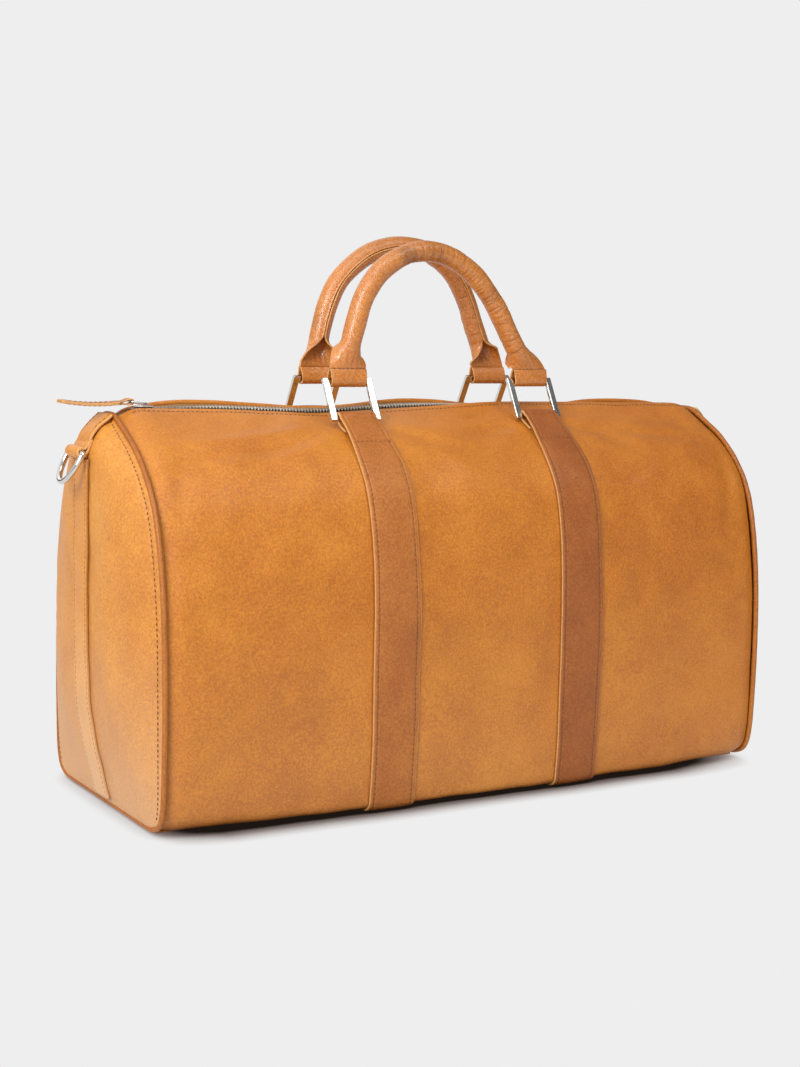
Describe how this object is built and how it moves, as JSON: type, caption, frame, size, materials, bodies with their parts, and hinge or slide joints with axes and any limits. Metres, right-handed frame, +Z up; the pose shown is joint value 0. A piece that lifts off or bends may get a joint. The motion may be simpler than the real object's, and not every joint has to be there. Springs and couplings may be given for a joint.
{
  "type": "weekender bag",
  "caption": "Leather weekender bag with domed ends, a full-length top zip, rolled handles on flat metal rings, stitched bands and a D-ring on each end.",
  "frame": {"origin": "middle of the flat base, on the surface that the bag stands on", "axes": "+X along the bag, away from the end where the closed zip's slider lies; -Y is the front; +Z is up"},
  "size_m": [0.5712, 0.205, 0.3968],
  "materials": {
    "shell_leather": "satin",
    "strap_leather": "satin",
    "ring_metal": "polished",
    "zip_metal": "satin",
    "zip_tape": "matte",
    "lining": "matte",
    "base_board": "matte",
    "handle_core": "matte"
  },
  "bodies": {
    "shell": {"front_panel": "shell_leather", "back_panel": "shell_leather", "base_panel": "shell_leather", "base_board": "base_board", "lining": "lining", "end_panel_left": "shell_leather", "end_panel_right": "shell_leather", "piping_left": "strap_leather", "piping_right": "strap_leather", "end_strip_left": "strap_leather", "end_strip_right": "strap_leather", "end_tab_left": "strap_leather", "end_tab_right": "strap_leather", "front_band_left": "strap_leather", "front_band_right": "strap_leather", "rear_band_left": "strap_leather", "rear_band_right": "strap_leather", "zip_tape_front": "zip_tape", "zip_tape_rear": "zip_tape", "zip_teeth_front": "zip_metal", "zip_teeth_rear": "zip_metal", "zip_stop_left": "zip_metal", "zip_stop_right": "zip_metal"},
    "front_ring_left": {"front_ring_left": "ring_metal"},
    "front_ring_right": {"front_ring_right": "ring_metal"},
    "front_handle": {"front_handle_cover": "strap_leather", "front_handle_core": "handle_core"},
    "rear_ring_left": {"rear_ring_left": "ring_metal"},
    "rear_ring_right": {"rear_ring_right": "ring_metal"},
    "rear_handle": {"rear_handle_cover": "strap_leather", "rear_handle_core": "handle_core"},
    "d_ring_left": {"d_ring_left": "ring_metal"},
    "d_ring_right": {"d_ring_right": "ring_metal"},
    "zip_slider": {"zip_slider": "ring_metal"},
    "zip_pull_link": {"zip_pull_link": "ring_metal"},
    "zip_pull_tab": {"zip_pull_tab": "strap_leather"}
  },
  "joints": [
    {"name": "front_ring_left_hinge", "type": "hinge", "parent": "shell", "child": "front_ring_left", "pos_m": [-0.0785, -0.0362, 0.27012], "axis": [1, 0, 0], "range_deg": [-3, 105]},
    {"name": "front_ring_right_hinge", "type": "hinge", "parent": "shell", "child": "front_ring_right", "pos_m": [0.0785, -0.0362, 0.27012], "axis": [1, 0, 0], "range_deg": [-3, 105]},
    {"name": "front_handle_hinge", "type": "hinge", "parent": "front_ring_left", "child": "front_handle", "pos_m": [0, -0.0225, 0.29568], "axis": [1, 0, 0], "range_deg": [-4, 40]},
    {"name": "rear_ring_left_hinge", "type": "hinge", "parent": "shell", "child": "rear_ring_left", "pos_m": [-0.0785, 0.0362, 0.27012], "axis": [-1, 0, 0], "range_deg": [-3, 105]},
    {"name": "rear_ring_right_hinge", "type": "hinge", "parent": "shell", "child": "rear_ring_right", "pos_m": [0.0785, 0.0362, 0.27012], "axis": [-1, 0, 0], "range_deg": [-3, 105]},
    {"name": "rear_handle_hinge", "type": "hinge", "parent": "rear_ring_left", "child": "rear_handle", "pos_m": [0, 0.0225, 0.29568], "axis": [-1, 0, 0], "range_deg": [-4, 40]},
    {"name": "d_ring_left_hinge", "type": "hinge", "parent": "shell", "child": "d_ring_left", "pos_m": [-0.27301, 0, 0.2475], "axis": [0, 1, 0], "range_deg": [-28, 115]},
    {"name": "d_ring_right_hinge", "type": "hinge", "parent": "shell", "child": "d_ring_right", "pos_m": [0.27301, 0, 0.2475], "axis": [0, -1, 0], "range_deg": [-28, 115]},
    {"name": "zip_slide", "type": "slide", "parent": "shell", "child": "zip_slider", "axis": [1, 0, 0], "range_m": [0, 0.444]},
    {"name": "zip_link_hinge", "type": "hinge", "parent": "zip_slider", "child": "zip_pull_link", "pos_m": [-0.2245, 0, 0.2791], "axis": [0, 1, 0], "range_deg": [0, 150]},
    {"name": "zip_tab_hinge", "type": "hinge", "parent": "zip_pull_link", "child": "zip_pull_tab", "pos_m": [-0.2349, 0, 0.2808], "axis": [0, 1, 0], "range_deg": [-5, 40]}
  ],
  "couplings": [
    {"joint": "front_ring_right_hinge", "follows": "front_ring_left_hinge", "ratio": 1},
    {"joint": "rear_ring_right_hinge", "follows": "rear_ring_left_hinge", "ratio": 1}
  ]
}
